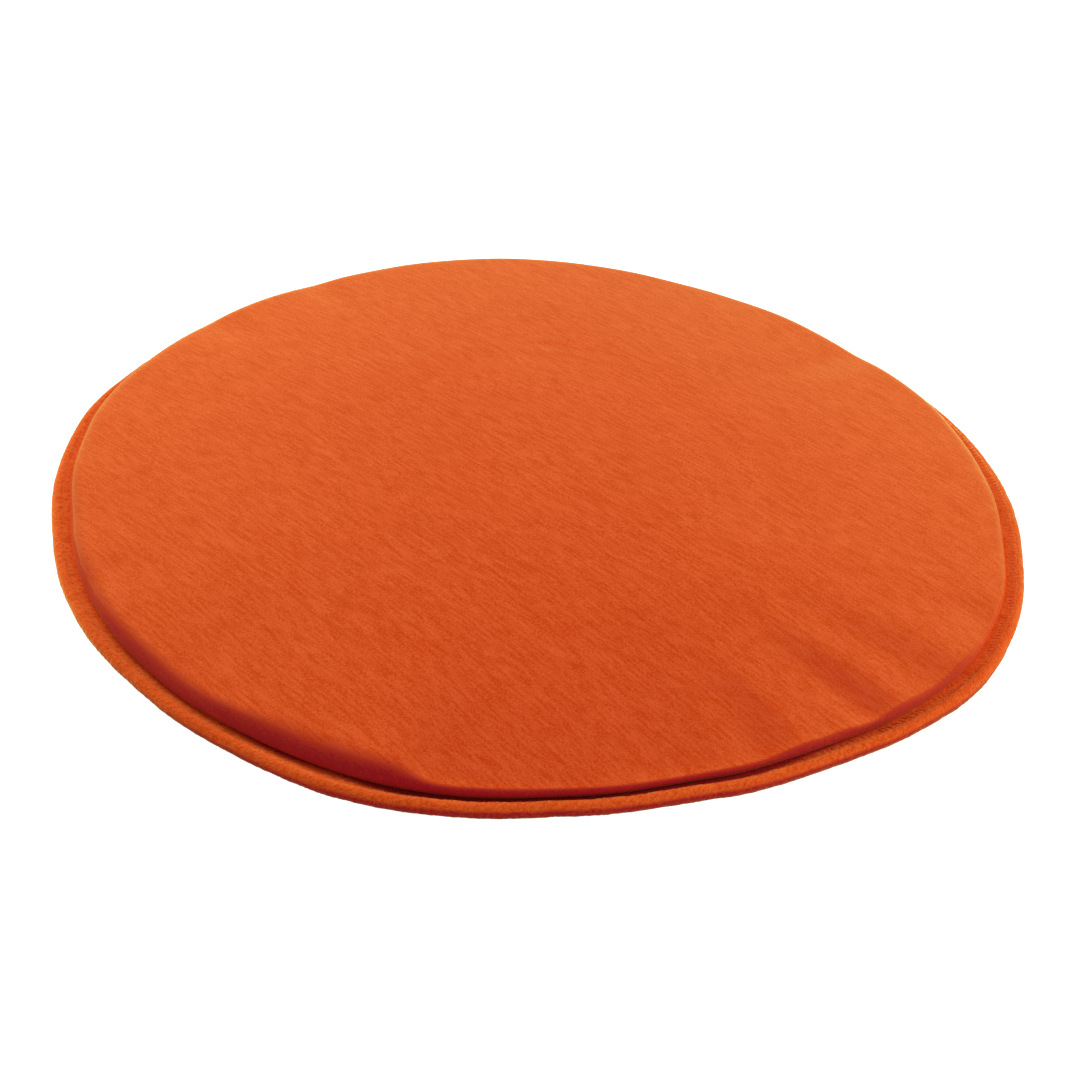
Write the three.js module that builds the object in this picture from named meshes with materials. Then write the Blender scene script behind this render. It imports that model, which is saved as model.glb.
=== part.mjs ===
// Round seat pad, 400 mm across its piping and 20 mm thick at the middle.
// A filled disc in short-pile cloth lies on its back, with a cloth-covered cord sewn round its foot.
// Millimetres, +Z up, angles in degrees counter-clockwise from +X as seen from above.
// The origin is at the middle of the foot, on the surface that the pad lies on.
import * as THREE from 'three';
import { ParametricGeometry } from 'three/addons/geometries/ParametricGeometry.js';

// Driving dimensions
const PIPED_RADIUS = 200;
const MIDDLE_HEIGHT = 20.4;
const CROWN_POWER = 2.1;
const FOOT_INSET = 8;
const SEAM_INSET = 2.2;
const SEAM_HEIGHT = 3.4;
const WALL_LEAST = 2.5;
const CORD_RADIUS = 2.95;
const CORD_MIDDLE = 2.6;
const FLANGE_THICKNESS = 1.3;
const FLANGE_SHORT = 1.36;
const SEGMENTS = 180;

// How far the piping stands out of a true circle, or in from it, each over so many degrees
const OUTLINE = [
  { at: 5, by: 2.8, over: 19 },
  { at: 24, by: 0.6, over: 8 },
  { at: 46, by: -2.8, over: 14 },
  { at: 97, by: 4.8, over: 16 },
  { at: 166, by: 1.6, over: 8 },
  { at: 193, by: -1.7, over: 9 },
  { at: 217, by: 0.6, over: 8 },
  { at: 232, by: 1.3, over: 7 },
  { at: 252, by: 4.7, over: 14 },
  { at: 274, by: -1.1, over: 5 },
  { at: 292, by: -5.4, over: 15 },
  { at: 295, by: 1.5, over: 5 },
  { at: 308, by: -0.9, over: 5 },
  { at: 331, by: 4.9, over: 13 },
  { at: 345, by: 1.6, over: 7 },
];

// How far the pad's widest line stays inside the edge of the piping, and where that changes
const STRIP = 6.8;
const STRIP_CHANGES = [
  { at: 8, by: 2.8, over: 21 },
  { at: 176, by: 0.9, over: 26 },
  { at: 225, by: -0.6, over: 8 },
  { at: 249, by: 1.8, over: 11 },
  { at: 276, by: -0.5, over: 14 },
  { at: 305, by: 0.5, over: 14 },
];

// The cord is thicker where its two ends join
const CORD_JOIN = [{ at: 327, by: 0.4, over: 3.5 }];

// How high the pad's edge stands, from place to place: it is low where the cover is pulled to its seam
const EDGE_HEIGHTS = [
  { at: 0, height: 14.2 },
  { at: 60, height: 14.2 },
  { at: 120, height: 14.6 },
  { at: 180, height: 14.2 },
  { at: 212, height: 13.8 },
  { at: 232, height: 12.2 },
  { at: 246, height: 12.5 },
  { at: 257, height: 12.4 },
  { at: 261, height: 8.5 },
  { at: 288, height: 7.6 },
  { at: 304, height: 8.8 },
  { at: 341, height: 13.6 },
];

// The radius that the cover rolls over that edge with: it folds sharply where the edge is low
const EDGE_ROLLS = [
  { at: 0, roll: 5.6 },
  { at: 60, roll: 5.6 },
  { at: 120, roll: 6.2 },
  { at: 180, roll: 6.0 },
  { at: 214, roll: 5.4 },
  { at: 236, roll: 5.6 },
  { at: 248, roll: 8.8 },
  { at: 257, roll: 8.8 },
  { at: 261, roll: 2.6 },
  { at: 288, roll: 1.9 },
  { at: 304, roll: 2.2 },
  { at: 326, roll: 2.2 },
  { at: 345, roll: 5.0 },
];

// Soft creases that run in from the rim: a trough is deep, and a ridge is less than nothing deep
const CREASES = [
  { at: 298, reach: 52, wide: 6.5, deep: 0.6 },
  { at: 303.6, reach: 66, wide: 6.5, deep: -1 },
  { at: 309.3, reach: 20, wide: 6, deep: -0.6 },
  { at: 312.8, reach: 50, wide: 6.2, deep: 1.5 },
  { at: 317.4, reach: 80, wide: 6.3, deep: -0.9 },
  { at: 322.9, reach: 80, wide: 7, deep: 0.6 },
  { at: 328.7, reach: 78, wide: 6.5, deep: -0.6 },
  { at: 336.3, reach: 36, wide: 7.5, deep: 0.9 },
  { at: 41, reach: 52, wide: 7, deep: 0.9 },
  { at: 125, reach: 34, wide: 6.5, deep: 0.7 },
  { at: 143.5, reach: 36, wide: 6.5, deep: 0.7 },
  { at: 208, reach: 46, wide: 7, deep: 0.5 },
];

// How many steps each stretch of the pad's section takes, from the middle of its foot to the middle
// of its top; an uneven stretch has its steps closer together at its start
const PAD_STRETCHES = [
  { stretch: 'foot', steps: 1, uneven: 1 },
  { stretch: 'under', steps: 3, uneven: 1 },
  { stretch: 'wall', steps: 3, uneven: 1 },
  { stretch: 'roll', steps: 5, uneven: 1 },
  { stretch: 'top', steps: 9, uneven: 1.4 },
];
const CORD_STEPS = 15;

const { degToRad, euclideanModulo, lerp, smoothstep } = THREE.MathUtils;
const QUARTER_TURN = Math.PI / 2;

// The shortest turn from one angle to another, from -180 to 180
function turnBetween(from, to) {
  return euclideanModulo(to - from + 180, 360) - 180;
}

// The sum of a table's swellings at one angle
function swellingAt(table, angle) {
  return table.reduce((sum, row) => {
    const spread = turnBetween(row.at, angle) / row.over;
    return sum + row.by * Math.exp(-spread * spread);
  }, 0);
}

// One column of a table at one angle, eased from row to row round the rim
function easedAt(table, column, angle) {
  const following = table.findIndex((row) => row.at > angle);
  const after = table[Math.max(following, 0)];
  const before = table.at(following < 0 ? -1 : following - 1);
  const share = smoothstep(angle - before.at, 0, euclideanModulo(after.at - before.at, 360));
  return lerp(before[column], after[column], share);
}

function edgeHeight(angle) {
  return easedAt(EDGE_HEIGHTS, 'height', angle);
}

function edgeRoll(angle) {
  return easedAt(EDGE_ROLLS, 'roll', angle);
}

// The height at which the pad is widest, where its wall ends and its edge starts to roll over
function widestHeight(angle) {
  return Math.max(SEAM_HEIGHT + WALL_LEAST, edgeHeight(angle) - edgeRoll(angle));
}

function pipedRadius(angle) {
  return PIPED_RADIUS + swellingAt(OUTLINE, angle);
}

function padRadius(angle) {
  return pipedRadius(angle) - STRIP - swellingAt(STRIP_CHANGES, angle);
}

// How far the creases let the top down at one point
function creaseDepth(angle, radius) {
  const rim = padRadius(angle);
  return CREASES.reduce((sum, row) => {
    const turn = turnBetween(row.at, angle);
    if (Math.abs(turn) > 90) return sum;
    const across = (radius * Math.sin(degToRad(turn))) / row.wide;
    const along = smoothstep(radius, rim - row.reach, rim - row.reach / 3);
    return sum + row.deep * along * Math.exp(-across * across);
  }, 0);
}

// The stretches of the pad's section. Each gives the radius and height at a share of its length.
const padSection = {
  foot(share, angle) {
    return [share * (padRadius(angle) - FOOT_INSET), 0];
  },
  under(share, angle) {
    const turned = share * QUARTER_TURN;
    const inset = lerp(FOOT_INSET, SEAM_INSET, Math.sin(turned));
    return [padRadius(angle) - inset, SEAM_HEIGHT * (1 - Math.cos(turned))];
  },
  wall(share, angle) {
    const inset = SEAM_INSET * (1 - Math.sin(share * QUARTER_TURN));
    return [padRadius(angle) - inset, lerp(SEAM_HEIGHT, widestHeight(angle), share)];
  },
  roll(share, angle) {
    const turned = share * QUARTER_TURN;
    const radius = padRadius(angle) - edgeRoll(angle) * (1 - Math.cos(turned));
    const rise = lerp(widestHeight(angle), edgeHeight(angle), Math.sin(turned));
    return [radius, rise - creaseDepth(angle, radius) * Math.sin(turned)];
  },
  top(share, angle) {
    const radius = (padRadius(angle) - edgeRoll(angle)) * (1 - share);
    const crown = lerp(MIDDLE_HEIGHT, edgeHeight(angle), (1 - share) ** CROWN_POWER);
    return [radius, crown - creaseDepth(angle, radius)];
  },
};

const padStations = [
  { stretch: 'foot', share: 0 },
  ...PAD_STRETCHES.flatMap(({ stretch, steps, uneven }) =>
    Array.from({ length: steps }, (_, step) => ({ stretch, share: ((step + 1) / steps) ** uneven })),
  ),
];

// The piping's section: the cord from under its flange, round its foot and over its top, then the
// flange, whose free edge follows the pad's seam. It ends where it starts.
function weltSection(station, angle) {
  const cord = CORD_RADIUS + swellingAt(CORD_JOIN, angle);
  const flangeFoot = SEAM_HEIGHT - FLANGE_THICKNESS / 2;
  const flangeTop = SEAM_HEIGHT + FLANGE_THICKNESS / 2;
  const flangeEdge = padRadius(angle) - SEAM_INSET + FLANGE_SHORT;
  if (station === CORD_STEPS + 1) return [flangeEdge, flangeTop];
  if (station === CORD_STEPS + 2) return [flangeEdge, flangeFoot];
  const start = Math.PI - Math.asin((flangeFoot - CORD_MIDDLE) / cord);
  const end = 3 * Math.PI - Math.asin((flangeTop - CORD_MIDDLE) / cord);
  const turned = lerp(start, end, (station % (CORD_STEPS + 3)) / CORD_STEPS);
  const radius = pipedRadius(angle) - cord + cord * Math.cos(turned);
  return [radius, Math.max(0, CORD_MIDDLE + cord * Math.sin(turned))];
}

// A body turned round +Z: section gives the radius and height of each of its stations at any angle
function turnedBody(name, color, stations, section) {
  const last = stations - 1;
  const surface = (around, along, target) => {
    const angle = 360 * (around % 1);
    const [radius, height] = section(Math.round(along * last), angle);
    target.set(radius * Math.cos(degToRad(angle)), radius * Math.sin(degToRad(angle)), height);
  };
  const geometry = new ParametricGeometry(surface, SEGMENTS, last);
  const material = new THREE.MeshStandardMaterial({ color, roughness: 0.9, metalness: 0 });
  const body = new THREE.Mesh(geometry, material);
  body.name = name;
  return body;
}

const pad = turnedBody('pad', 0xd4541f, padStations.length, (station, angle) => {
  const { stretch, share } = padStations[station];
  return padSection[stretch](share, angle);
});
const welt = turnedBody('welt', 0xdb5a24, CORD_STEPS + 4, weltSection);

// The uneven outline is centred over the origin by its own box
const cushion = new THREE.Group();
cushion.add(pad, welt);
const middle = new THREE.Box3().setFromObject(cushion).getCenter(new THREE.Vector3());
cushion.position.set(-middle.x, -middle.y, 0);

export default cushion;
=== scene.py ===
# A round seat pad in orange velour, piped round its foot, lying on its back on a pale surface.
import math

import bmesh
import bpy
import numpy as np
from mathutils import Matrix, Vector


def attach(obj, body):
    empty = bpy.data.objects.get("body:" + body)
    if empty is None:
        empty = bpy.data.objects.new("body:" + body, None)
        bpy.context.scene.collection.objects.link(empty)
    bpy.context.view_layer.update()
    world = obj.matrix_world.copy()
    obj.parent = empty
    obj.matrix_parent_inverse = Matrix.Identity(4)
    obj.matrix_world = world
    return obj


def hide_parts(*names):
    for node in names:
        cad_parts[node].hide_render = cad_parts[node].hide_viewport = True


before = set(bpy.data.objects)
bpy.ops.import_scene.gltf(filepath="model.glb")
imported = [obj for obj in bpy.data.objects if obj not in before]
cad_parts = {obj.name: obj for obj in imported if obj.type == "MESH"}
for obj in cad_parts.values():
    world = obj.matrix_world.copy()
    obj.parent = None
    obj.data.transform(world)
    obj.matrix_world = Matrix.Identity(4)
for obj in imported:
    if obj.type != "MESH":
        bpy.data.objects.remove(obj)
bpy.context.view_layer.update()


# The camera
# The photograph looks down on the pad from in front, through a long lens held a little off level.
MM = 0.001
CAMERA_DISTANCE = 1.0
CAMERA_ELEVATION = math.radians(34.42)
CAMERA_ROLL = math.radians(3.75)
CAMERA_AIM = Vector((1.63, -25.91, 0)) * MM
CAMERA_LENS = 81.32
FILM_WIDTH = 36

scene = bpy.context.scene
camera = bpy.data.objects.new("camera", bpy.data.cameras.new("camera"))
camera.data.sensor_width = FILM_WIDTH
camera.data.lens = CAMERA_LENS
camera_back = Vector((0, -math.cos(CAMERA_ELEVATION), math.sin(CAMERA_ELEVATION)))
camera.matrix_world = (
    Matrix.Translation(CAMERA_AIM + camera_back * CAMERA_DISTANCE)
    @ Matrix.Rotation(math.radians(90) - CAMERA_ELEVATION, 4, "X")
    @ Matrix.Rotation(CAMERA_ROLL, 4, "Z")
)
scene.collection.objects.link(camera)
scene.camera = camera


# The pad
# A round of soft filling in a cover of short-pile velour. The cover rolls over the edge of the filling
# and comes down a low side to the seam at its foot; underneath it is flat, where the pad lies.

# The CAD solids are read ray by ray, and the pad's corners are put in order round a hub in its edge
RAYS = 180
SAME_CORNER = 0.02 * MM
MIDDLE_SPOT = 5 * MM
HUB_INSET = 12 * MM
HUB_HEIGHT = 5 * MM
SEAM_HEIGHT = 3.4 * MM
CROWN_POWER = 2.1

# The rings of the cover, numbered from its foot to its middle, with two more close inside the edge
SEAM_RING = 3
WIDEST_RING = 6
ROLL_END = 11
CLOSE_RINGS = (0.12, 0.36)
PATCH_RING = 16
PATCH_RINGS = 4

# The filling: the cover starts a little small and is blown up against its seam
START_ACROSS = 0.99
START_UP = 0.85
PRESSURE = 4
CLOTH_QUALITY = 6
FILLING_STEPS = 20
LEVELS_PER_RING = 2
EVENING_STEPS = 40
UNEVENNESS_KEPT = 0.35
MOST_MOVE = 6 * MM


def merged_corners(name):
    """The corners of a CAD solid, each of them once."""
    solid = bmesh.new()
    solid.from_mesh(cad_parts[name].data)
    bmesh.ops.remove_doubles(solid, verts=solid.verts, dist=SAME_CORNER)
    corners = np.array([corner.co for corner in solid.verts])
    solid.free()
    return corners


def rays_of(corners, middle):
    """The radius and height of a solid's corners, ray by ray round its middle."""
    offset = corners[:, :2] - middle[:2]
    radius = np.hypot(*offset.T)
    angle = np.arctan2(offset[:, 1], offset[:, 0])
    ray = np.round(angle / math.tau * RAYS).astype(int) % RAYS
    points = np.column_stack((radius, corners[:, 2]))
    return [points[(ray == i) & (radius > MIDDLE_SPOT)] for i in range(RAYS)]


def section_in_order(ray):
    """One ray of the pad, from its foot up the side, over the edge and in along the top."""
    hub_radius = ray[:, 0].max() - HUB_INSET
    turned = np.arctan2(ray[:, 1] - HUB_HEIGHT, ray[:, 0] - hub_radius)
    return ray[turned.argsort()]


def with_close_rings(sections):
    """Adds rings just inside the rolled edge, so that rounding the cover doesn't slacken it."""
    outer, inner = sections[:, ROLL_END : ROLL_END + 1], sections[:, ROLL_END + 1 : ROLL_END + 2]
    close = [outer + (inner - outer) * share for share in CLOSE_RINGS]
    return np.concatenate((sections[:, : ROLL_END + 1], *close, sections[:, ROLL_END + 1 :]), axis=1)


pad_corners = merged_corners("pad")
pad_middle = pad_corners[pad_corners[:, 2].argmax()]
pad_sections = np.array([section_in_order(ray) for ray in rays_of(pad_corners, pad_middle)])
ray_angles = np.arange(RAYS) / RAYS * math.tau
ray_directions = np.column_stack((np.cos(ray_angles), np.sin(ray_angles)))


def placed(radius, height):
    """Points on every ray, at each ray's own radius and height."""
    flat = pad_middle[:2] + ray_directions * np.reshape(radius, (-1, 1))
    return np.column_stack((flat, np.broadcast_to(height, RAYS)))


def fill_with_patch(shell, rim):
    """Fills the innermost ring with a square mesh. Its edges fall into two arcs that face each other."""
    quarter = RAYS // 4
    facing_arcs = [k for start in (0, 2 * quarter) for k in range(start, start + quarter)]
    rim_edges = [shell.edges.get((rim[k], rim[(k + 1) % RAYS])) for k in facing_arcs]
    bmesh.ops.grid_fill(shell, edges=rim_edges)
    shell.verts.index_update()


def crown_patch(corners, ring_number):
    """Raises the corners of the patch to the crown, and gives them the ring numbers that follow."""
    for corner in corners:
        offset = corner.co.xy - Vector(pad_middle[:2])
        turned = math.atan2(offset.y, offset.x)
        rim_radius, rim_height = (
            np.interp(turned, ray_angles, values, period=math.tau)
            for values in pad_sections[:, PATCH_RING].T
        )
        share = offset.length / rim_radius
        corner.co.z = pad_middle[2] + (rim_height - pad_middle[2]) * share**CROWN_POWER
        corner[ring_number] = PATCH_RING + PATCH_RINGS * (1 - share)


def pad_mesh():
    """The cover as rings of quads from the foot to partway in along the top, and a square-meshed patch.

    Each corner keeps its ring number, which runs on over the patch to the middle.
    """
    numbers = [*range(ROLL_END + 1), *(ROLL_END + share for share in CLOSE_RINGS)]
    numbers += range(ROLL_END + 1, PATCH_RING + 1)
    sections = with_close_rings(pad_sections)
    shell = bmesh.new()
    ring_number = shell.verts.layers.float.new("ring")
    corners = []
    for k, number in enumerate(numbers):
        corners.append([shell.verts.new(point) for point in placed(*sections[:, k].T)])
        for corner in corners[k]:
            corner[ring_number] = number
    for lower, upper in zip(corners, corners[1:]):
        for i in range(RAYS):
            after = (i + 1) % RAYS
            shell.faces.new((lower[i], lower[after], upper[after], upper[i]))
    fill_with_patch(shell, corners[-1])
    crown_patch([corner for corner in shell.verts if corner.index >= RAYS * len(numbers)], ring_number)
    bmesh.ops.recalc_face_normals(shell, faces=shell.faces)
    mesh = bpy.data.meshes.new("padded_disc")
    shell.to_mesh(mesh)
    shell.free()
    return mesh


def settle(piece):
    """Applies all of a piece's modifiers."""
    bpy.context.view_layer.update()
    seen = piece.evaluated_get(bpy.context.evaluated_depsgraph_get())
    mesh = bpy.data.meshes.new_from_object(seen)
    piece.modifiers.clear()
    piece.data = mesh


def rounded(piece):
    """Rounds a piece by one level of Catmull-Clark subdivision."""
    rounding = piece.modifiers.new("rounding", "SUBSURF")
    rounding.levels = rounding.render_levels = 1
    settle(piece)


def corners_of(mesh):
    """All of a mesh's corners as one array."""
    corners = np.empty(len(mesh.vertices) * 3, np.float32)
    mesh.vertices.foreach_get("co", corners)
    return corners.reshape(-1, 3).astype(float)


def put_back(mesh, corners):
    """Moves a mesh's corners to new places."""
    mesh.vertices.foreach_set("co", corners.astype(np.float32).ravel())
    mesh.update()


def ring_numbers(mesh):
    """The ring number that each corner of the cover kept."""
    numbers = np.empty(len(mesh.vertices), np.float32)
    mesh.attributes["ring"].data.foreach_get("value", numbers)
    return numbers


def outward_from_middle(corners):
    """The flat direction from the pad's middle to each corner."""
    offset = corners[:, :2] - pad_middle[:2]
    return offset / np.maximum(np.hypot(*offset.T), MM)[:, None]


def blown_up(piece, start, held_corners):
    """Where a piece's corners go under pressure from a start, while some of them are held."""
    put_back(piece.data, start)
    held = piece.vertex_groups.new(name="held")
    held.add(held_corners.tolist(), 1.0, "REPLACE")
    filling = piece.modifiers.new("filling", "CLOTH")
    filling.settings.use_pressure = True
    filling.settings.uniform_pressure_force = PRESSURE
    filling.settings.effector_weights.gravity = 0
    filling.settings.vertex_group_mass = "held"
    filling.settings.quality = CLOTH_QUALITY
    filling.collision_settings.use_collision = False
    for step in range(1, FILLING_STEPS + 1):
        scene.frame_set(step)
    settle(piece)
    scene.frame_set(1)
    return corners_of(piece.data)


def evened(mesh, moved):
    """Shares each corner's move with its neighbours, as the soft filling does."""
    ends = np.array([edge.vertices[:] for edge in mesh.edges])
    neighbours = np.bincount(ends.ravel(), minlength=len(moved))[:, None]
    for step in range(EVENING_STEPS):
        shared = np.zeros_like(moved)
        np.add.at(shared, ends[:, 0], moved[ends[:, 1]])
        np.add.at(shared, ends[:, 1], moved[ends[:, 0]])
        moved = (moved + shared / neighbours) / 2
    return moved


def fill_cover(piece):
    """Blows the cover up against its seam, and keeps what that makes uneven: the crown is the CAD's."""
    before = corners_of(piece.data)
    rings = ring_numbers(piece.data)
    middle = np.array((*pad_middle[:2], SEAM_HEIGHT))
    start = middle + (before - middle) * (START_ACROSS, START_ACROSS, START_UP)
    sewn = rings <= SEAM_RING
    start[sewn] = before[sewn]
    moved = blown_up(piece, start, np.flatnonzero(sewn)) - before
    outward = outward_from_middle(before)
    moved = np.column_stack(((moved[:, :2] * outward).sum(1), moved[:, 2]))
    patch_level = np.round(rings * LEVELS_PER_RING) / LEVELS_PER_RING
    level = np.where(rings < PATCH_RING, np.round(rings, 2), patch_level)
    for k in np.unique(level):
        moved[level == k] -= moved[level == k].mean(0)
    moved = evened(piece.data, moved) * UNEVENNESS_KEPT
    moved *= MOST_MOVE / np.maximum(np.hypot(*moved.T), MOST_MOVE)[:, None]
    settled = before + np.column_stack((outward * moved[:, :1], moved[:, 1:]))
    settled[:, 2] = np.maximum(settled[:, 2], 0)
    put_back(piece.data, settled)


def close_underneath(mesh):
    """Closes the foot of the cover with its flat underside."""
    shell = bmesh.new()
    shell.from_mesh(mesh)
    bmesh.ops.holes_fill(shell, edges=[edge for edge in shell.edges if edge.is_boundary])
    shell.to_mesh(mesh)
    shell.free()


pad = bpy.data.objects.new("padded_disc", pad_mesh())
scene.collection.objects.link(pad)
rounded(pad)
fill_cover(pad)
rounded(pad)
close_underneath(pad.data)
pad.data.shade_smooth()

# The sides of the creases that face the back right get painted light, and those facing the other way
# painted shade
BACK_RIGHT = np.array((0.71, 0.71))


def mark_crease_light(mesh):
    """Marks how far the sides of the creases face the back right, for the painted light and shade on
    them.
    """
    outward = outward_from_middle(corners_of(mesh))
    around = np.column_stack((-outward[:, 1], outward[:, 0]))
    facing = np.empty(len(mesh.vertices) * 3, np.float32)
    mesh.vertices.foreach_get("normal", facing)
    crease_light = (facing.reshape(-1, 3)[:, :2] * around).sum(1) * (around @ BACK_RIGHT)
    on_top = np.clip((ring_numbers(mesh) - WIDEST_RING) / (ROLL_END - WIDEST_RING), 0, 1)
    kept = mesh.attributes.new("crease_light", "FLOAT", "POINT")
    kept.data.foreach_set("value", (crease_light * on_top).astype(np.float32))


mark_crease_light(pad.data)

# The velour of the pad and its welt: how its pile is mixed, how painted shade is mixed in, and the sheen
# of its tips
ROWS_SHARE = 0.3
CLOUDS_SHARE = 0.1
PILE_RANGE = (0.37, 0.63)
SHADE_BREAK = 2.5
SHADE_RANGE = (0.06, 0.9)
CLOTH_ROUGHNESS = 0.9
SHEEN_ROUGHNESS = 0.35
SHEEN_TINT = (1.0, 0.85, 0.25, 1)
OPEN_SHEEN = 1.0
SEAM_SHEEN = 0.1


def node_group(name, inputs, outputs):
    """An empty shader group with named sockets: (name, type, value) for each input."""
    group = bpy.data.node_groups.new(name, "ShaderNodeTree")
    for title, kind, value in inputs:
        socket = group.interface.new_socket(title, in_out="INPUT", socket_type=kind)
        socket.default_value = value
    for title, kind in outputs:
        group.interface.new_socket(title, in_out="OUTPUT", socket_type=kind)
    return group


def add_node(tree, kind, inputs=None, **settings):
    """A node with its settings and inputs: an input is a value or the socket that feeds it."""
    node = tree.nodes.new(kind)
    for title, value in settings.items():
        setattr(node, title, value)
    for title, value in (inputs or {}).items():
        socket = node.inputs[title]
        if isinstance(value, bpy.types.NodeSocket):
            tree.links.new(value, socket)
        else:
            socket.default_value = value
    return node


def maths(tree, operation, *values):
    """One sum on numbers."""
    return add_node(tree, "ShaderNodeMath", dict(enumerate(values)), operation=operation).outputs[0]


def vector_maths(tree, operation, first, second=None):
    """One sum on vectors. A dot product and a length are numbers."""
    inputs = {0: first}
    if second is not None:
        inputs["Scale" if operation == "SCALE" else 1] = second
    node = add_node(tree, "ShaderNodeVectorMath", inputs, operation=operation)
    return node.outputs["Value" if operation in ("DOT_PRODUCT", "LENGTH") else "Vector"]


def vector_of(tree, *parts):
    """A vector made of three numbers."""
    return add_node(tree, "ShaderNodeCombineXYZ", dict(enumerate(parts))).outputs[0]


def ranged(tree, value, start, end, most=1.0):
    """A number that goes from 0 to most as the value goes from start to end."""
    inputs = {"Value": value, "From Min": start, "From Max": end, "To Max": most}
    return add_node(tree, "ShaderNodeMapRange", inputs).outputs[0]


def mixed(tree, share, first, second, **settings):
    """Two colours mixed, the second one by this share. The node's colour sockets are 6, 7 and 2."""
    return add_node(
        tree, "ShaderNodeMix", {0: share, 6: first, 7: second}, data_type="RGBA", **settings
    ).outputs[2]


def velour_group():
    """Short pile brushed one way: rows and tufts along the nap, clouds, and a deeper colour where asked.

    Sizes are in millimetres. One input moves the pile's colour lighter or darker as painted light and
    shade, and the tufts break up the edge of the deeper colour, which is painted shade.
    """
    number, vector, color = "NodeSocketFloat", "NodeSocketVector", "NodeSocketColor"
    group = node_group(
        "velour",
        [
            ("Nap", vector, (0, 0, 0)),
            ("Raised", color, (1, 1, 1, 1)),
            ("Laid", color, (0.5, 0.5, 0.5, 1)),
            ("Painted Shade", color, (0.2, 0.2, 0.2, 1)),
            ("Depth", number, 0.0),
            ("Lift", number, 0.0),
            ("Row Length", number, 8.0),
            ("Row Width", number, 1.2),
            ("Tuft Length", number, 0.85),
            ("Tuft Width", number, 0.5),
            ("Cloud Length", number, 22.0),
            ("Cloud Width", number, 8.0),
        ],
        [("Color", color), ("Height", number)],
    )
    given = add_node(group, "NodeGroupInput").outputs

    def noise_along_nap(length, width, detail):
        per_length = maths(group, "DIVIDE", 1 / MM, given[length])
        per_width = maths(group, "DIVIDE", 1 / MM, given[width])
        stretch = vector_of(group, per_length, per_width, per_width)
        place = vector_maths(group, "MULTIPLY", given["Nap"], stretch)
        return add_node(
            group, "ShaderNodeTexNoise", {"Vector": place, "Scale": 1.0, "Detail": detail}
        ).outputs[0]

    rows = noise_along_nap("Row Length", "Row Width", detail=0.0)
    tufts = noise_along_nap("Tuft Length", "Tuft Width", detail=1.5)
    clouds = noise_along_nap("Cloud Length", "Cloud Width", detail=2.0)
    tufts_part = maths(group, "MULTIPLY", tufts, 1 - ROWS_SHARE)
    height = maths(group, "MULTIPLY_ADD", rows, ROWS_SHARE, tufts_part)
    clouds_part = maths(group, "MULTIPLY", clouds, CLOUDS_SHARE)
    share = maths(group, "MULTIPLY_ADD", height, 1 - CLOUDS_SHARE, clouds_part)
    share = maths(group, "ADD", ranged(group, share, *PILE_RANGE), given["Lift"])
    pile = mixed(group, share, given["Laid"], given["Raised"])
    # Painted shade: the deeper colour, its edge broken up by the tufts
    broken = maths(group, "MULTIPLY", maths(group, "SUBTRACT", height, 0.5), given["Depth"])
    shade_share = maths(group, "MULTIPLY_ADD", broken, SHADE_BREAK, given["Depth"])
    shown = mixed(group, ranged(group, shade_share, *SHADE_RANGE), pile, given["Painted Shade"])
    add_node(group, "NodeGroupOutput", {"Color": shown, "Height": height})
    return group


def material_tree(name):
    """A new node material, emptied but for its output."""
    material = bpy.data.materials.new(name)
    material.use_nodes = True
    tree = material.node_tree
    tree.nodes.clear()
    output = tree.nodes.new("ShaderNodeOutputMaterial")
    return material, tree, output


def raised_by(tree, height, strength, distance):
    """The surface's normal where a height stands up from it."""
    return add_node(
        tree, "ShaderNodeBump", {"Height": height, "Strength": strength, "Distance": distance}
    ).outputs[0]


def cloth_surface(tree, output, color, normal, sheen, tint=SHEEN_TINT, roughness=CLOTH_ROUGHNESS):
    """Ends a cloth's material: matt, without gloss, and with the sheen of the tips of its fibres."""
    surface = add_node(
        tree,
        "ShaderNodeBsdfPrincipled",
        {
            "Base Color": color,
            "Roughness": roughness,
            "Specular IOR Level": 0.0,
            "Sheen Weight": sheen,
            "Sheen Roughness": SHEEN_ROUGHNESS,
            "Sheen Tint": tint,
            "Normal": normal,
        },
    )
    tree.links.new(surface.outputs[0], output.inputs[0])


velour = velour_group()

# The pad's own velour: how its nap runs, where it has no sheen, the painted light and shade on it, and
# its colours
NAP_LEAN = 1.1
NAP_BEND = 0.5
# Painted light and shade on the sides of the creases: how far it moves the pile's colour
CREASE_LIGHT_GAIN = 0.8
# Painted shade: the sides that face this way, to the front and a little left and away from the lamps,
# are darkened over this range
SHADED_SIDE = (-0.14, -0.99, 0)
SHADED_SIDE_RANGE = (0.02, 0.86)
# Painted shade low down by the seam: the colour darkens from the upper height down to the lower
SEAM_SHADE_HEIGHTS = (8 * MM, 5 * MM)
SEAM_SHADE = 0.7
LAID_FLAT = 0.42
STEEP = 0.6
# A painted highlight added towards the left and right of the pad, over this reach from its middle
SIDE_HIGHLIGHT_REACH = (40 * MM, 190 * MM)
SIDE_HIGHLIGHT_COLOR = (0.04, 0.02, 0.004, 1)
PAD_RAISED = (0.715, 0.092, 0.021, 1)
PAD_LAID = (0.55, 0.033, 0.0, 1)
# The colour of the painted shade on the front sides and low down by the seam
PAD_SHADE = (0.4, 0.012, 0.019, 1)
PAD_BUMP = {"strength": 0.3, "distance": 0.4 * MM}


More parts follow.
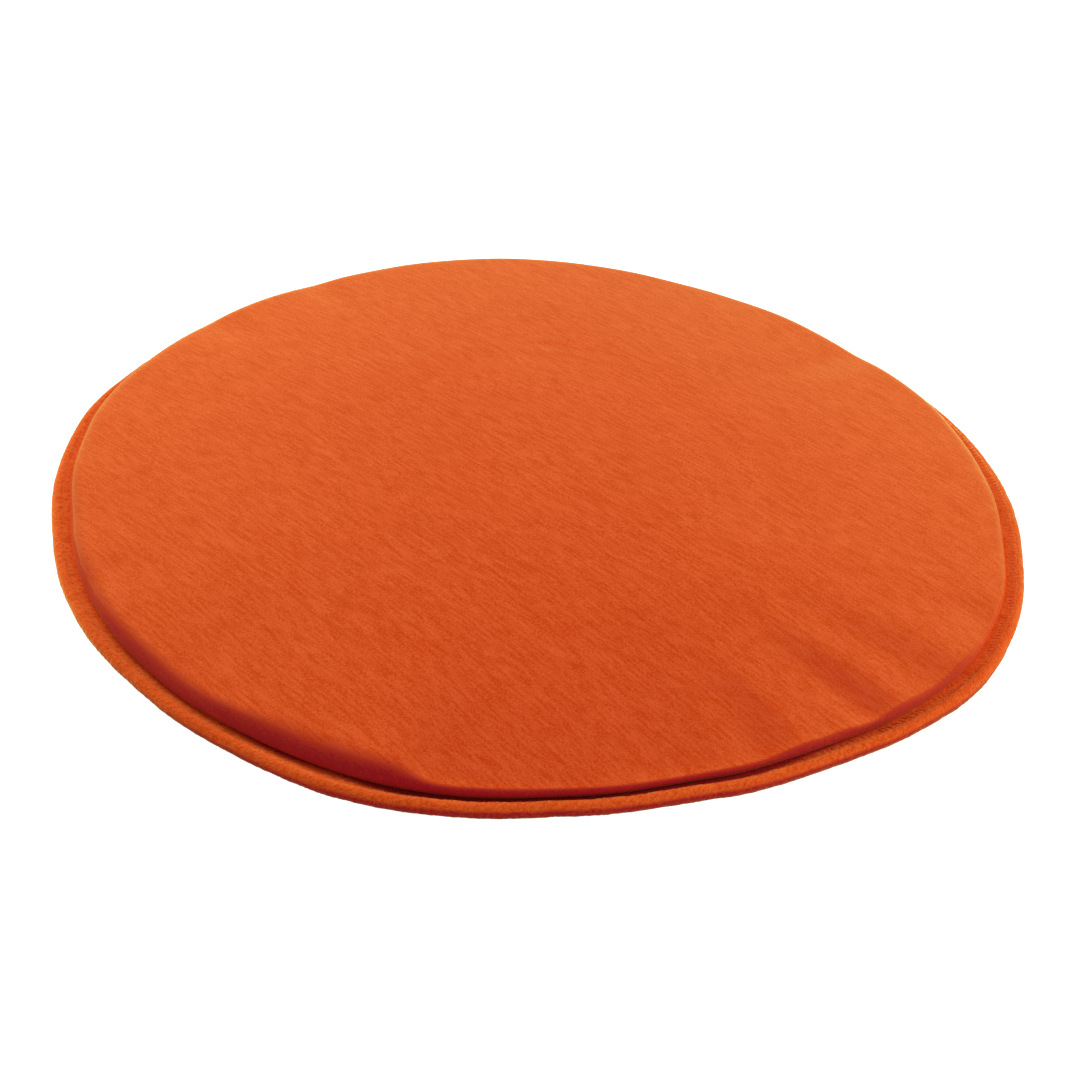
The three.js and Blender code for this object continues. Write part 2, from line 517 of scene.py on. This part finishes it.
def pad_velour(name, sheen):
    """The cover's velour, whose nap runs off to the right and forward.

    Its colour is darkened by painted shade on the sides that face the front, away from the lamps, and
    low down by the seam. The sides of its creases carry painted light and shade, and towards the left
    and right of the pad a painted highlight is added.
    """
    material, tree, output = material_tree(name)
    given = add_node(tree, "ShaderNodeTexCoord").outputs
    across, up, height = add_node(tree, "ShaderNodeSeparateXYZ", {0: given["Object"]}).outputs
    bend = maths(tree, "MULTIPLY", maths(tree, "MULTIPLY", up, up), NAP_BEND)
    over_nap = maths(tree, "ADD", maths(tree, "MULTIPLY_ADD", up, NAP_LEAN, across), bend)
    with_nap = maths(tree, "SUBTRACT", maths(tree, "MULTIPLY", across, NAP_LEAN), up)
    nap = vector_of(tree, with_nap, over_nap, height)
    nap = vector_maths(tree, "SCALE", nap, 1 / math.hypot(1, NAP_LEAN))
    # Painted shade on the sides that face the front, and low down by the seam
    facing_shaded_side = vector_maths(tree, "DOT_PRODUCT", given["Normal"], SHADED_SIDE)
    side_shade = ranged(tree, facing_shaded_side, *SHADED_SIDE_RANGE)
    by_seam = ranged(tree, height, *SEAM_SHADE_HEIGHTS, SEAM_SHADE)
    # Painted light and shade on the sides of the creases
    crease_light = add_node(tree, "ShaderNodeAttribute", attribute_name="crease_light").outputs["Fac"]
    cloth = add_node(
        tree,
        "ShaderNodeGroup",
        {
            "Nap": nap,
            "Depth": maths(tree, "MAXIMUM", side_shade, by_seam),
            "Lift": maths(tree, "MULTIPLY", crease_light, CREASE_LIGHT_GAIN),
            "Raised": PAD_RAISED,
            "Laid": PAD_LAID,
            "Painted Shade": PAD_SHADE,
        },
        node_tree=velour,
    )
    # Painted highlight towards the left and right of the pad
    side_highlight = ranged(tree, maths(tree, "ABSOLUTE", across), *SIDE_HIGHLIGHT_REACH)
    shown = mixed(tree, side_highlight, cloth.outputs["Color"], SIDE_HIGHLIGHT_COLOR, blend_type="ADD")
    raised = raised_by(tree, cloth.outputs["Height"], **PAD_BUMP)
    cloth_surface(tree, output, shown, raised, sheen)
    return material


pad.data.materials.append(pad_velour("orange_velour", OPEN_SHEEN))
pad.data.materials.append(pad_velour("orange_velour_laid_flat", SEAM_SHEEN))
pad_rings = ring_numbers(pad.data)
for face in pad.data.polygons:
    in_seam = max(pad_rings[i] for i in face.vertices) < WIDEST_RING
    laid_flat = face.normal.dot(Vector(SHADED_SIDE)) > LAID_FLAT
    face.material_index = int(in_seam or laid_flat or face.normal.z < STEEP)
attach(pad, "root")
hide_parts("pad")


# The welt
# A cord in a strip of the same velour, cut on the bias and folded round it. The strip's two edges run
# in under the pad's edge to the seam, and the cord's two ends are butted where it is a little thicker.
CORD_RADIUS = 2.95 * MM
CORD_MIDDLE = 2.6 * MM
JOIN_ANGLE = 327
JOIN_RAYS = 2.5
JOIN_SWELLING = 0.13
SEAM_REACH = 1.8 * MM
STRIP_SEED = 0.1 * MM
STRIP_WELD = 0.01 * MM
STRIP_FALL = 1.6

# How many millimetres the strip's edge lies below the cord's top at each azimuth, in degrees: it is
# pulled down along the front
STRIP_DROPS = {
    0: 0.2, 60: 0.6, 150: 0.8, 195: 0.8, 211: 0.9, 224: 1.0, 235: 1.2, 243: 1.9,
    251: 1.6, 258: 2.5, 298: 2.5, 304: 1.9, 314: 1.5, 326: 0.6, 341: 0.3,
}


def round_the_pad(table):
    """The millimetres that a table gives by azimuth, at every ray and in metres."""
    return np.interp(np.degrees(ray_angles), list(table), list(table.values()), period=360) * MM


def from_join(values):
    """Values at the rays in the order of the welt's path, which starts at the join."""
    return np.roll(values, -round(JOIN_ANGLE / 360 * RAYS), axis=0)


def keep_on_path(mesh, name, values):
    """Gives the corners of the welt's path a named number each, from the values at the rays."""
    kept = mesh.attributes.new(name, "FLOAT", "POINT")
    kept.data.foreach_set("value", from_join(values).astype(np.float32))


def welt_path():
    """The middle of the cord as a closed loop of edges that starts at the join.

    Each corner keeps how far the strip's sewn edge lies in from the cord's middle and below the cord's
    top, and the cord's thickness.
    """
    sections = np.array(rays_of(merged_corners("welt"), pad_middle))
    cord_middle = sections[:, :, 0].max(1) - CORD_RADIUS
    past_join = np.arange(RAYS) - JOIN_ANGLE / 360 * RAYS
    past_join = (past_join + RAYS / 2) % RAYS - RAYS / 2
    points = from_join(placed(cord_middle, CORD_MIDDLE))
    mesh = bpy.data.meshes.new("welt")
    mesh.from_pydata(points.tolist(), [(i, (i + 1) % RAYS) for i in range(RAYS)], [])
    keep_on_path(mesh, "flange", cord_middle - sections[:, :, 0].min(1) + SEAM_REACH)
    keep_on_path(mesh, "drop", round_the_pad(STRIP_DROPS))
    keep_on_path(mesh, "thickness", 1 + JOIN_SWELLING * np.exp(-((past_join / JOIN_RAYS) ** 2)))
    return mesh


def geometry_tree(name, inputs):
    """A geometry tree with named inputs, and its input sockets."""
    tree = bpy.data.node_groups.new(name, "GeometryNodeTree")
    tree.interface.new_socket("Geometry", in_out="INPUT", socket_type="NodeSocketGeometry")
    tree.interface.new_socket("Geometry", in_out="OUTPUT", socket_type="NodeSocketGeometry")
    for title, kind in inputs:
        tree.interface.new_socket(title, in_out="INPUT", socket_type=kind)
    return tree, add_node(tree, "NodeGroupInput").outputs


def made_with(piece, tree, values):
    """Runs a geometry tree on a piece with these values, and keeps the mesh that it makes."""
    maker = piece.modifiers.new(tree.name, "NODES")
    maker.node_group = tree
    for socket in tree.interface.items_tree:
        if socket.in_out == "INPUT" and socket.name in values:
            maker[socket.identifier] = values[socket.name]
    settle(piece)


def finished_output(tree, geometry, material, other_material=None, where=None):
    """Ends a geometry tree: real faces only, in one material, or in another one where that is asked."""
    real = add_node(tree, "GeometryNodeRealizeInstances", {0: geometry}).outputs[0]
    smooth = add_node(tree, "GeometryNodeSetShadeSmooth", {"Geometry": real}).outputs[0]
    dressed = add_node(
        tree, "GeometryNodeSetMaterial", {"Geometry": smooth, "Material": material}
    ).outputs[0]
    if other_material:
        dressed = add_node(
            tree,
            "GeometryNodeSetMaterial",
            {"Geometry": dressed, "Material": other_material, "Selection": where},
        ).outputs[0]
    add_node(tree, "NodeGroupOutput", {0: dressed})


def named(tree, name):
    """The socket of a named number that the corners carry."""
    return add_node(
        tree, "GeometryNodeInputNamedAttribute", {"Name": name}, data_type="FLOAT"
    ).outputs[0]


def smooth_loop(tree, path):
    """A loop of edges as one smooth closed curve."""
    loop = add_node(tree, "GeometryNodeMeshToCurve", {"Mesh": path}).outputs[0]
    return add_node(
        tree, "GeometryNodeCurveSplineType", {"Curve": loop}, spline_type="CATMULL_ROM"
    ).outputs[0]


def level_loop(tree, loop):
    """The same curve with its normals level."""
    return add_node(tree, "GeometryNodeSetCurveNormal", {"Curve": loop}, mode="Z_UP").outputs[0]


def stepped(tree, curve, count):
    """The same curve with this many points, evenly apart."""
    return add_node(tree, "GeometryNodeResampleCurve", {"Curve": curve, "Count": count}).outputs[0]


def marked(tree, geometry, marks):
    """A geometry that keeps what its points measure now: (name, type, socket) for each mark."""
    node = add_node(tree, "GeometryNodeCaptureAttribute", {"Geometry": geometry})
    for name, kind, socket in marks:
        node.capture_items.new(kind, name)
        tree.links.new(socket, node.inputs[name])
    return node.outputs


def stored(tree, geometry, name, value, kind):
    """A geometry whose mesh carries a value for its material to read."""
    return add_node(
        tree,
        "GeometryNodeStoreNamedAttribute",
        {"Geometry": geometry, "Name": name, "Value": value},
        data_type=kind,
    ).outputs[0]


def shifted(tree, geometry, offset):
    """A geometry with its points moved."""
    return add_node(
        tree, "GeometryNodeSetPosition", {"Geometry": geometry, "Offset": offset}
    ).outputs[0]


def joined(tree, first, second):
    """Two geometries as one."""
    both = add_node(tree, "GeometryNodeJoinGeometry", {0: first})
    tree.links.new(second, both.inputs[0])
    return both.outputs[0]


def pushed(tree, geometry, noise, height):
    """A geometry pushed in and out by a noise, over this height in all."""
    push = maths(tree, "MULTIPLY", maths(tree, "SUBTRACT", noise, 0.5), height)
    facing = add_node(tree, "GeometryNodeInputNormal").outputs[0]
    return shifted(tree, geometry, vector_maths(tree, "SCALE", facing, push))


def folded_strip(tree, given, path, outward):
    """The strip from the cord's top in to the seam, two plies thick, and how far in each point is."""
    line = add_node(
        tree, "GeometryNodeCurvePrimitiveLine", {"Start": (0, 0, 0), "End": (0, STRIP_SEED, 0)}
    ).outputs[0]
    share = add_node(tree, "GeometryNodeSplineParameter").outputs["Factor"]
    profile = marked(tree, stepped(tree, line, given["Strip Steps"]), [("inward", "FLOAT", share)])
    inward = profile["inward"]
    strip = add_node(
        tree, "GeometryNodeCurveToMesh", {"Curve": path, "Profile Curve": profile["Geometry"]}
    ).outputs[0]
    reach = maths(tree, "MULTIPLY", maths(tree, "MULTIPLY", inward, named(tree, "flange")), -1.0)
    fallen = maths(tree, "MINIMUM", maths(tree, "MULTIPLY", inward, STRIP_FALL), 1.0)
    drop = maths(tree, "MULTIPLY", named(tree, "drop"), fallen)
    rise = vector_of(tree, 0.0, 0.0, maths(tree, "SUBTRACT", given["Cord Radius"], drop))
    to_seam = vector_maths(tree, "ADD", vector_maths(tree, "SCALE", outward, reach), rise)
    strip = shifted(tree, strip, to_seam)
    sunk = maths(tree, "DIVIDE", maths(tree, "MULTIPLY", named(tree, "drop"), inward), MM)
    strip = stored(tree, strip, "sunk", sunk, "FLOAT")
    lower_ply = add_node(
        tree,
        "GeometryNodeExtrudeMesh",
        {
            "Mesh": strip,
            "Offset": (0, 0, -1),
            "Offset Scale": given["Strip Thickness"],
            "Individual": False,
        },
    ).outputs[0]
    upper_ply = add_node(tree, "GeometryNodeFlipFaces", {"Mesh": strip}).outputs[0]
    strip = add_node(
        tree,
        "GeometryNodeMergeByDistance",
        {"Geometry": joined(tree, lower_ply, upper_ply), "Distance": STRIP_WELD},
    ).outputs[0]
    return strip, inward


# Which faces lie in the seam: those of the strip from this share of its width inwards, with a ragged
# edge, and those of the cord that face the pad
SEAM_SHARE = 0.5
SEAM_RAGGED = 0.8
INNER_SIDE = -1.5


def in_the_seam(tree, inward, outward, tufts):
    """Which faces of the welt lie in the seam, where the pile has no sheen."""
    facing = add_node(tree, "GeometryNodeInputNormal").outputs[0]
    outer_side = vector_maths(tree, "DOT_PRODUCT", facing, outward)
    inner_side = maths(tree, "MULTIPLY", outer_side, INNER_SIDE)
    farthest = maths(tree, "MAXIMUM", inward, inner_side)
    tuft = maths(tree, "SUBTRACT", tufts, 0.5)
    ragged = maths(tree, "MULTIPLY_ADD", tuft, SEAM_RAGGED, farthest)
    return maths(tree, "GREATER_THAN", ragged, SEAM_SHARE)


def corded_welt_tree():
    """Sweeps the round cord and its flat strip along the welt's path, and roughens their pile.

    For the material, each point carries how far along the welt, how far out and how high it lies.
    """
    number, whole, cloth = "NodeSocketFloat", "NodeSocketInt", "NodeSocketMaterial"
    tree, given = geometry_tree(
        "corded_welt",
        [
            ("Cord Radius", number),
            ("Cord Sides", whole),
            ("Steps", whole),
            ("Strip Steps", whole),
            ("Strip Thickness", number),
            ("Lump Scale", number),
            ("Lump Height", number),
            ("Tuft Scale", number),
            ("Tuft Height", number),
            ("Cloth", cloth),
            ("Cloth in the Seam", cloth),
        ],
    )
    loop = level_loop(tree, stepped(tree, smooth_loop(tree, given["Geometry"]), given["Steps"]))
    normal = add_node(tree, "GeometryNodeInputNormal").outputs[0]
    along = add_node(tree, "GeometryNodeSplineParameter").outputs["Length"]
    path = marked(tree, loop, [("outward", "VECTOR", normal), ("length", "FLOAT", along)])
    ring = add_node(
        tree,
        "GeometryNodeCurvePrimitiveCircle",
        {"Resolution": given["Cord Sides"], "Radius": given["Cord Radius"]},
    ).outputs[0]
    cord = add_node(
        tree,
        "GeometryNodeCurveToMesh",
        {"Curve": path["Geometry"], "Profile Curve": ring, "Scale": named(tree, "thickness")},
    ).outputs[0]
    strip, inward = folded_strip(tree, given, path["Geometry"], path["outward"])

    lumps = add_node(
        tree, "ShaderNodeTexNoise", {"Scale": given["Lump Scale"], "Detail": 2.0}
    ).outputs[0]
    tufts = add_node(
        tree, "ShaderNodeTexNoise", {"Scale": given["Tuft Scale"], "Detail": 1.0}
    ).outputs[0]
    rough = pushed(tree, joined(tree, cord, strip), lumps, given["Lump Height"])
    rough = pushed(tree, rough, tufts, given["Tuft Height"])
    place = add_node(tree, "GeometryNodeInputPosition").outputs[0]
    across, up, height = add_node(tree, "ShaderNodeSeparateXYZ", {0: place}).outputs
    off_the_floor = vector_of(tree, across, up, maths(tree, "MAXIMUM", height, 0.0))
    resting = add_node(
        tree, "GeometryNodeSetPosition", {"Geometry": rough, "Position": off_the_floor}
    ).outputs[0]
    out = vector_maths(tree, "LENGTH", vector_of(tree, across, up, 0.0))
    lay = vector_of(tree, path["length"], out, height)
    patterned = stored(tree, resting, "lay", lay, "FLOAT_VECTOR")
    seam = in_the_seam(tree, inward, path["outward"], tufts)
    finished_output(tree, patterned, given["Cloth"], given["Cloth in the Seam"], seam)
    return tree


# The welt's velour: where shade is painted on it, and its colours, which are brighter than the pad's
# Painted shade on the cord's lower front, which faces away from the lamps
CORD_SHADED_SIDE = (0.2, -1.0, -0.8)
CORD_SHADE_RANGE = (0.25, 0.82)
CORD_DARKEST_SHADE = 0.85
# Painted shade on the strip as it sinks into the seam, over this many millimetres
SUNK_SHADE_RANGE = (0.8, 1.6)
BIAS = math.radians(45)
WELT_RAISED = (0.88, 0.135, 0.024, 1)
WELT_LAID = (0.68, 0.06, 0.004, 1)
WELT_SHADE = (0.4, 0.009, 0.018, 1)
WELT_BUMP = {"strength": 0.5, "distance": 0.5 * MM}


def welt_velour(name, sheen):
    """The same velour on the bias round the cord, with painted shade low on its front and in the seam.
    """
    material, tree, output = material_tree(name)
    lay = add_node(tree, "ShaderNodeAttribute", attribute_name="lay").outputs["Vector"]
    bias = add_node(tree, "ShaderNodeMapping", {"Vector": lay, "Rotation": (0, 0, BIAS)}).outputs[0]
    facing = add_node(tree, "ShaderNodeTexCoord").outputs["Normal"]
    # Painted shade low on the cord's front, and on the strip where it sinks into the seam
    facing_shaded_side = vector_maths(tree, "DOT_PRODUCT", facing, CORD_SHADED_SIDE)
    side_shade = ranged(tree, facing_shaded_side, *CORD_SHADE_RANGE, CORD_DARKEST_SHADE)
    sunk = add_node(tree, "ShaderNodeAttribute", attribute_name="sunk").outputs["Fac"]
    cloth = add_node(
        tree,
        "ShaderNodeGroup",
        {
            "Nap": bias,
            "Depth": maths(tree, "MAXIMUM", side_shade, ranged(tree, sunk, *SUNK_SHADE_RANGE)),
            "Raised": WELT_RAISED,
            "Laid": WELT_LAID,
            "Painted Shade": WELT_SHADE,
            "Row Length": 3.0,
            "Row Width": 1.1,
        },
        node_tree=velour,
    )
    raised = raised_by(tree, cloth.outputs["Height"], **WELT_BUMP)
    cloth_surface(tree, output, cloth.outputs["Color"], raised, sheen)
    return material


welt = bpy.data.objects.new("welt_of_covered_cord", welt_path())
scene.collection.objects.link(welt)
stitch_path = welt.data.copy()
made_with(
    welt,
    corded_welt_tree(),
    {
        "Cord Radius": CORD_RADIUS,
        "Cord Sides": 24,
        "Steps": 1800,
        "Strip Steps": 7,
        "Strip Thickness": 1.2 * MM,
        "Lump Scale": 120.0,
        "Lump Height": 0.6 * MM,
        "Tuft Scale": 800.0,
        "Tuft Height": 0.5 * MM,
        "Cloth": welt_velour("orange_velour_on_the_bias", OPEN_SHEEN),
        "Cloth in the Seam": welt_velour("orange_bias_velour_in_the_seam", SEAM_SHEEN),
    },
)
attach(welt, "root")
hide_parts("welt")


# The stitches
# Overcast stitches in a thread of the same orange, small and close, that bind the strip's edge along
# the inner shoulder of the cord. They are pulled into the pile, and show at the right alone.
THREAD_DARK = (0.62, 0.05, 0.007, 1)
THREAD_LIGHT = (0.84, 0.12, 0.024, 1)
THREAD_TINT = (1.0, 0.5, 0.2, 1)
THREAD_SHEEN = 0.3
THREAD_ROUGHNESS = 0.8
PLIES_SCALE = 2500.0
THREAD_BUMP = {"strength": 0.4, "distance": 0.1 * MM}

# How many millimetres deep the stitches are pulled in at each azimuth, in degrees
STITCH_PULLS = {
    20: 0.25, 45: 0.8, 150: 1.1, 225: 1.2, 245: 1.8,
    260: 2.4, 292: 2.4, 304: 1.4, 318: 0.7, 340: 0.25,
}


def orange_thread():
    """Spun thread: two oranges and a low relief, in the plies of the thread."""
    material, tree, output = material_tree("orange_thread")
    place = add_node(tree, "ShaderNodeTexCoord").outputs["Object"]
    plies = add_node(
        tree, "ShaderNodeTexNoise", {"Vector": place, "Scale": PLIES_SCALE, "Detail": 2.0}
    ).outputs[0]
    shade = mixed(tree, plies, THREAD_DARK, THREAD_LIGHT)
    raised = raised_by(tree, plies, **THREAD_BUMP)
    cloth_surface(tree, output, shade, raised, THREAD_SHEEN, THREAD_TINT, THREAD_ROUGHNESS)
    return material


def overcast_tree():
    """Lays short bent threads at an even pitch along the welt's path, each a little off square."""
    number, whole, vector = "NodeSocketFloat", "NodeSocketInt", "NodeSocketVector"
    tree, given = geometry_tree(
        "overcast_stitches",
        [
            ("Pitch", number),
            ("Thread Radius", number),
            ("Thread Start", vector),
            ("Thread Middle", vector),
            ("Thread End", vector),
            ("Slant", number),
            ("Wander", number),
            ("Seed", whole),
            ("Thread", "NodeSocketMaterial"),
        ],
    )
    loop = level_loop(tree, smooth_loop(tree, given["Geometry"]))
    pricked = add_node(
        tree, "GeometryNodeCurveToPoints", {"Curve": loop, "Length": given["Pitch"]}, mode="LENGTH"
    )
    bent = add_node(
        tree,
        "GeometryNodeCurveQuadraticBezier",
        {
            "Resolution": 6,
            "Start": given["Thread Start"],
            "Middle": given["Thread Middle"],
            "End": given["Thread End"],
        },
    ).outputs[0]
    section = add_node(
        tree, "GeometryNodeCurvePrimitiveCircle", {"Resolution": 5, "Radius": given["Thread Radius"]}
    ).outputs[0]
    stitch = add_node(
        tree, "GeometryNodeCurveToMesh", {"Curve": bent, "Profile Curve": section, "Fill Caps": True}
    ).outputs[0]
    squared = add_node(
        tree,
        "FunctionNodeAxesToRotation",
        {0: (0, 0, 1), 1: pricked.outputs["Normal"]},
        primary_axis="Z",
        secondary_axis="X",
    ).outputs[0]
    spread = add_node(
        tree, "FunctionNodeRandomValue", {"Min": -1.0, "Max": 1.0, "Seed": given["Seed"]}
    ).outputs[1]
    wander = maths(tree, "MULTIPLY_ADD", spread, given["Wander"], given["Slant"])
    turn = add_node(
        tree, "FunctionNodeAxisAngleToRotation", {"Axis": (0, 0, 1), "Angle": wander}
    ).outputs[0]
    laid = add_node(
        tree, "FunctionNodeRotateRotation", {0: squared, 1: turn}, rotation_space="LOCAL"
    ).outputs[0]
    pull = vector_maths(tree, "SCALE", (0, 0, -1), named(tree, "pull"))
    row = add_node(
        tree,
        "GeometryNodeInstanceOnPoints",
        {
            "Points": shifted(tree, pricked.outputs["Points"], pull),
            "Instance": stitch,
            "Rotation": laid,
        },
    ).outputs[0]
    finished_output(tree, row, given["Thread"])
    return tree


keep_on_path(stitch_path, "pull", round_the_pad(STITCH_PULLS))
stitches = bpy.data.objects.new("overcast_stitches", stitch_path)
scene.collection.objects.link(stitches)
made_with(
    stitches,
    overcast_tree(),
    {
        "Pitch": 2.2 * MM,
        "Thread Radius": 0.28 * MM,
        "Thread Start": (-4.6 * MM, 0, 2.0 * MM),
        "Thread Middle": (-3.0 * MM, 0, 3.3 * MM),
        "Thread End": (-0.2 * MM, 0, 2.95 * MM),
        "Slant": math.radians(14),
        "Wander": math.radians(9),
        "Seed": 4,
        "Thread": orange_thread(),
    },
)
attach(stitches, "root")


# The floor and the light
# A plain white sheet, a soft light behind the pad to its left, another to its right, and a pale room.
FLOOR_REACH = 4
PAPER_WHITE = (0.9, 0.9, 0.9, 1)
PAPER_ROUGHNESS = 0.9
ROOM_LIGHT = 0.46
LIGHT_SIZE = 0.9


def white_paper():
    """Matt white paper that the camera sees as pure white, as the photograph's surface is."""
    material, tree, output = material_tree("white_paper")
    seen = add_node(tree, "ShaderNodeLightPath").outputs["Is Camera Ray"]
    surface = add_node(
        tree,
        "ShaderNodeBsdfPrincipled",
        {
            "Base Color": PAPER_WHITE,
            "Roughness": PAPER_ROUGHNESS,
            "Emission Color": (1, 1, 1, 1),
            "Emission Strength": seen,
        },
    )
    tree.links.new(surface.outputs[0], output.inputs[0])
    return material


def soft_light(name, place, power):
    """A square area light at one place, turned to the pad."""
    lamp = bpy.data.lights.new(name, "AREA")
    lamp.size = LIGHT_SIZE
    lamp.energy = power
    light = bpy.data.objects.new(name, lamp)
    light.location = place
    light.rotation_euler = (-Vector(place)).to_track_quat("-Z", "Y").to_euler()
    scene.collection.objects.link(light)


floor_corners = [(x * FLOOR_REACH, y * FLOOR_REACH, 0) for x, y in ((-1, -1), (1, -1), (1, 1), (-1, 1))]
floor_mesh = bpy.data.meshes.new("floor")
floor_mesh.from_pydata(floor_corners, [], [(0, 1, 2, 3)])
floor_mesh.materials.append(white_paper())
floor = bpy.data.objects.new("floor", floor_mesh)
scene.collection.objects.link(floor)

soft_light("back_left", place=(-1.0, 1.0, 0.75), power=21.7)
soft_light("right", place=(1.41, 0, 0.75), power=14.6)
scene.view_settings.view_transform = "Standard"
room = bpy.data.worlds.new("room")
room.use_nodes = True
background = room.node_tree.nodes["Background"].inputs
background["Color"].default_value = (1, 1, 1, 1)
background["Strength"].default_value = ROOM_LIGHT
scene.world = room
